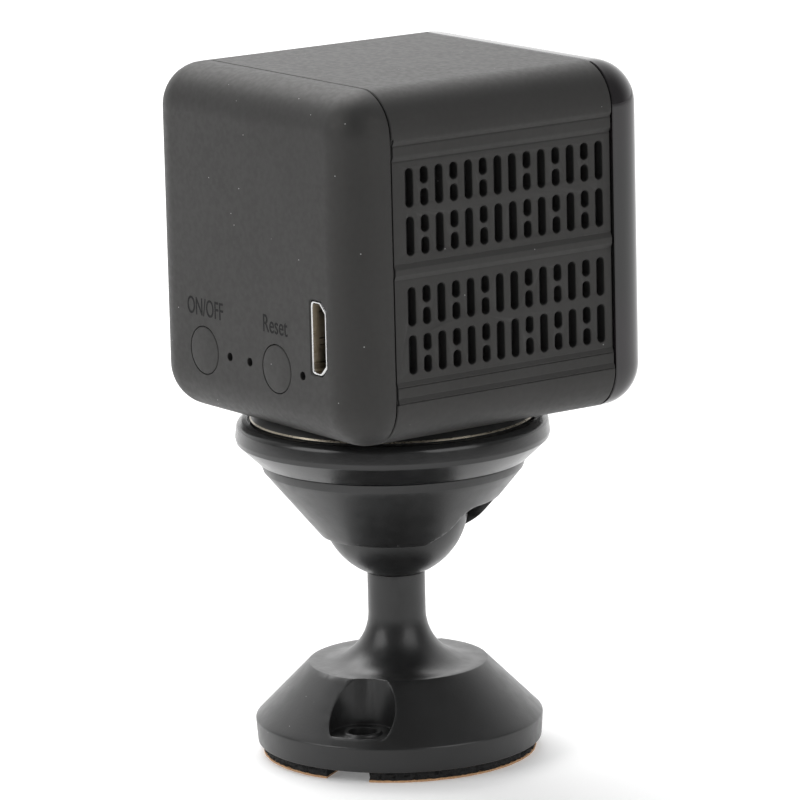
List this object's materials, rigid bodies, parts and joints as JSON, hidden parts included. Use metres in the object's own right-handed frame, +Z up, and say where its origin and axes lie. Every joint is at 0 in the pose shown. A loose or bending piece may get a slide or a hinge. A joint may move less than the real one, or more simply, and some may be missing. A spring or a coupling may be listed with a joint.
{
  "type": "cube security camera on a magnetic ball-joint stand",
  "caption": "Small cube camera with side grilles, rear buttons and a glossy front, held by a magnetic turntable on a ball-joint stand with a round adhesive base.",
  "frame": {"origin": "on the stand's axis, on the underside of the base's liner", "axes": "+Z up along the stem, the lens looks along -Y, the rear face with the buttons faces +Y"},
  "size_m": [0.037, 0.039, 0.0746],
  "materials": {
    "body_black": "fine matte, soft to the touch",
    "gloss_black": "piano gloss",
    "stand_black": "semi-gloss moulding",
    "foam": "closed-cell foam",
    "kraft": "waxed kraft paper",
    "plate": "black with a bright worn edge",
    "steel": "bright plated",
    "magnet": "nickel",
    "nylon": "moulded nylon",
    "board": "solder mask",
    "chip": "moulded compound",
    "cell": "foil",
    "lamp": "clear moulding",
    "mesh": "woven dust mesh",
    "smoked_window": "smoked acrylic",
    "lens_glass": "coated glass"
  },
  "bodies": {
    "stand": {"base": "stand_black", "foam_pad": "foam", "release_liner": "kraft"},
    "ball": {"ball": "stand_black", "ball_screw": "steel"},
    "friction_cup": {"friction_cup": "nylon"},
    "head": {"socket_cone": "stand_black", "mount_ring": "stand_black", "magnet": "magnet", "wave_washer": "steel", "head_screw_1": "steel", "head_screw_2": "steel", "head_screw_3": "steel"},
    "turntable": {"magnet_plate": "plate"},
    "power_button": {"power_button": "body_black"},
    "reset_button": {"reset_button": "body_black"},
    "camera": {"rear_cover": "body_black", "housing": "body_black", "front_cover": "gloss_black", "front_window": "smoked_window", "lens_ring": "gloss_black", "lens_barrel": "chip", "lens_glass": "lens_glass", "lens_holder": "chip", "image_sensor": "chip", "led_board": "board", "ir_led_1": "lamp", "ir_led_2": "lamp", "ir_led_3": "lamp", "ir_led_4": "lamp", "ir_led_5": "lamp", "ir_led_6": "lamp", "light_sensor": "lamp", "front_status_light": "lamp", "main_board": "board", "shield_can": "steel", "card_socket": "steel", "memory_card": "chip", "battery": "cell", "speaker": "chip", "antenna_board": "board", "steel_plate": "steel", "inner_frame": "nylon", "rear_board": "board", "power_switch": "chip", "reset_switch": "chip", "microphone": "cell", "usb_shell": "steel", "usb_tongue": "chip", "light_pipe_1": "lamp", "light_pipe_2": "lamp", "board_screw_1": "steel", "board_screw_2": "steel", "board_screw_3": "steel", "board_screw_4": "steel", "dust_mesh_left": "mesh", "dust_mesh_right": "mesh"}
  },
  "joints": [
    {"name": "ball_pan", "type": "hinge", "parent": "stand", "child": "ball", "pos_m": [0, 0, 0.02675], "axis": [0, 0, 1], "continuous": true},
    {"name": "slot_tilt", "type": "hinge", "parent": "ball", "child": "friction_cup", "pos_m": [0, 0, 0.02675], "axis": [0.5, -0.866, 0], "range_deg": [-38, 70]},
    {"name": "side_tilt", "type": "hinge", "parent": "friction_cup", "child": "head", "pos_m": [0, 0, 0.02675], "axis": [-0.866, -0.5, 0], "range_deg": [-14, 14]},
    {"name": "camera_swivel", "type": "hinge", "parent": "head", "child": "turntable", "pos_m": [0, 0, 0.03605], "axis": [0, 0, 1], "continuous": true},
    {"name": "camera_lift", "type": "slide", "parent": "turntable", "child": "camera", "axis": [0, 0, 1], "range_m": [0, 0.03]},
    {"name": "power_button_press", "type": "slide", "parent": "camera", "child": "power_button", "axis": [0, -1, 0], "range_m": [0, 0.0004], "stiffness_N_per_m": 2000},
    {"name": "reset_button_press", "type": "slide", "parent": "camera", "child": "reset_button", "axis": [0, -1, 0], "range_m": [0, 0.0004], "stiffness_N_per_m": 2000}
  ]
}
